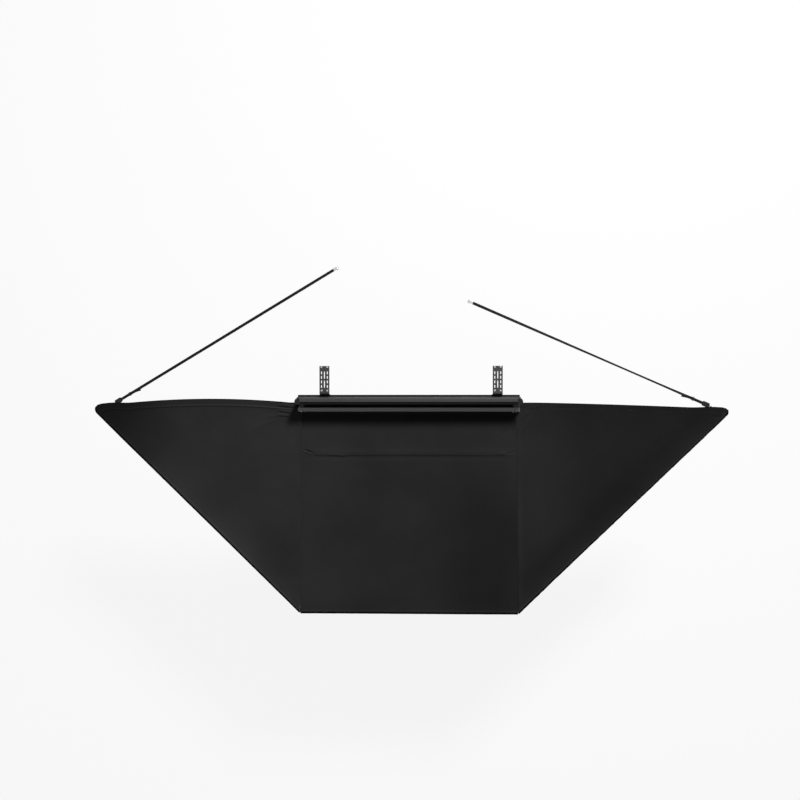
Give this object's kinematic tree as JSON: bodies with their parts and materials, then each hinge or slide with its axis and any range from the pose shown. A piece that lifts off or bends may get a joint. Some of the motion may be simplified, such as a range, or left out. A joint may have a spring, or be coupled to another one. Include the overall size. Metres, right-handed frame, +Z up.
{
  "type": "vehicle side awning",
  "caption": "Side awning for a vehicle in a long hard case with an open lid, swing-out arms, a dark canopy with a wing at each side and straps up to the roof rack.",
  "frame": {"origin": "middle of the case's rear ridge, on its rear face, where the brackets hold it to the rack", "axes": "+X along the vehicle, +Y towards the vehicle, +Z up; the canopy reaches out along -Y"},
  "size_m": [5.6355, 3.1349, 0.3614],
  "materials": {
    "canopy_fabric": "matte woven",
    "strap_webbing": "woven webbing",
    "stainless": "plain",
    "black_plastic": "fine grain",
    "seal_rubber": "matte",
    "coated_aluminium": "satin coated",
    "dark_coated_metal": "satin coated"
  },
  "bodies": {
    "case": {"canopy_centre": "canopy_fabric", "case_base": "coated_aluminium", "case_end_left": "black_plastic", "case_end_right": "black_plastic", "keder_bead": "canopy_fabric", "keder_rail": "coated_aluminium", "mount_plate_left": "dark_coated_metal", "mount_plate_right": "dark_coated_metal", "pivot_bolt_left_1": "stainless", "pivot_bolt_left_2": "stainless", "pivot_bolt_right_1": "stainless", "pivot_bolt_right_2": "stainless", "pivot_bracket_left": "dark_coated_metal", "pivot_bracket_right": "dark_coated_metal", "pivot_pin_left": "stainless", "pivot_pin_right": "stainless", "plate_bolt_left_far_1": "stainless", "plate_bolt_left_far_2": "stainless", "plate_bolt_left_near_1": "stainless", "plate_bolt_left_near_2": "stainless", "plate_bolt_right_far_1": "stainless", "plate_bolt_right_far_2": "stainless", "plate_bolt_right_near_1": "stainless", "plate_bolt_right_near_2": "stainless", "rail_screw_left": "stainless", "rail_screw_right": "stainless", "ridge_bolt_left_1": "stainless", "ridge_bolt_left_2": "stainless", "ridge_bolt_right_1": "stainless", "ridge_bolt_right_2": "stainless"},
    "lid": {"lid_end_cap_left": "black_plastic", "lid_end_cap_right": "black_plastic", "lid_panel": "coated_aluminium", "lid_seal": "seal_rubber"},
    "left_front_arm": {"canopy_wing_left": "canopy_fabric", "left_front_arm_hub": "dark_coated_metal", "left_front_arm_tip": "black_plastic", "left_front_arm_tube": "dark_coated_metal"},
    "left_side_arm": {"left_side_arm_hub": "dark_coated_metal", "left_side_arm_tip": "black_plastic", "left_side_arm_tube": "dark_coated_metal", "strap_anchor_left": "dark_coated_metal", "strap_buckle_left": "black_plastic", "strap_hook_left": "stainless", "strap_ring_left": "stainless", "strap_slider_left": "black_plastic", "strap_webbing_left": "strap_webbing"},
    "right_front_arm": {"canopy_wing_right": "canopy_fabric", "right_front_arm_hub": "dark_coated_metal", "right_front_arm_tip": "black_plastic", "right_front_arm_tube": "dark_coated_metal"},
    "right_side_arm": {"right_side_arm_hub": "dark_coated_metal", "right_side_arm_tip": "black_plastic", "right_side_arm_tube": "dark_coated_metal", "strap_anchor_right": "dark_coated_metal", "strap_buckle_right": "black_plastic", "strap_hook_right": "stainless", "strap_ring_right": "stainless", "strap_slider_right": "black_plastic", "strap_webbing_right": "strap_webbing"}
  },
  "joints": [
    {"name": "lid_hinge", "type": "hinge", "parent": "case", "child": "lid", "pos_m": [0, -0.02325, 0.07], "axis": [1, 0, 0], "range_deg": [0, 86.5]},
    {"name": "left_front_arm_swing", "type": "hinge", "parent": "case", "child": "left_front_arm", "pos_m": [-0.95, -0.07602, -0.07737], "axis": [0, -0.0523, 0.9986], "range_deg": [0, 91.5], "deforming": ["canopy_centre"]},
    {"name": "left_side_arm_swing", "type": "hinge", "parent": "case", "child": "left_side_arm", "pos_m": [-0.95, -0.07602, -0.07737], "axis": [0, -0.0523, 0.9986], "range_deg": [0, 179], "deforming": ["canopy_wing_left", "strap_webbing_left"]},
    {"name": "right_front_arm_swing", "type": "hinge", "parent": "case", "child": "right_front_arm", "pos_m": [0.95, -0.09998, -0.07863], "axis": [0, -0.0523, 0.9986], "range_deg": [-91.5, 0]},
    {"name": "right_side_arm_swing", "type": "hinge", "parent": "case", "child": "right_side_arm", "pos_m": [0.95, -0.09998, -0.07863], "axis": [0, -0.0523, 0.9986], "range_deg": [-179, 0], "deforming": ["canopy_wing_right", "strap_webbing_right"]}
  ],
  "couplings": [
    {"joint": "left_side_arm_swing", "follows": "left_front_arm_swing", "ratio": 1.9563},
    {"joint": "right_front_arm_swing", "follows": "left_front_arm_swing", "ratio": -1},
    {"joint": "right_side_arm_swing", "follows": "left_front_arm_swing", "ratio": -1.9563}
  ]
}
